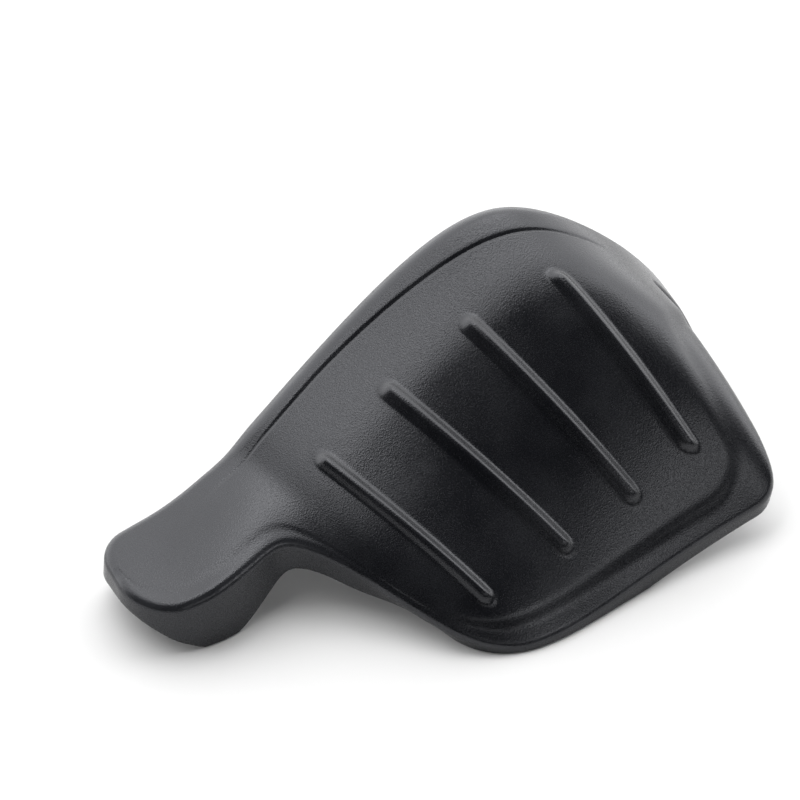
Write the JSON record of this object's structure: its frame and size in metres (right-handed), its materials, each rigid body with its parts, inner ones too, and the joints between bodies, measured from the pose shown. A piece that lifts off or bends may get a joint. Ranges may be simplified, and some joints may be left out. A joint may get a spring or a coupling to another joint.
{
  "type": "motorcycle hand guard",
  "caption": "Moulded motorcycle hand guard: a ribbed, domed wing on a narrow foot with a clip ring inside, and an arm with a screw hole for the bar end.",
  "frame": {"origin": "middle of the outline, level with the surface that the guard lies on", "axes": "+X from the foot with the clip ring to the arm that bolts to the bar end, -Y to the free edge of the wing, +Z out of the outer face"},
  "size_m": [0.2968, 0.1606, 0.1011],
  "materials": {
    "moulding": "fine grain, low sheen"
  },
  "bodies": {
    "root": {"guard_shell": "moulding"}
  },
  "joints": []
}
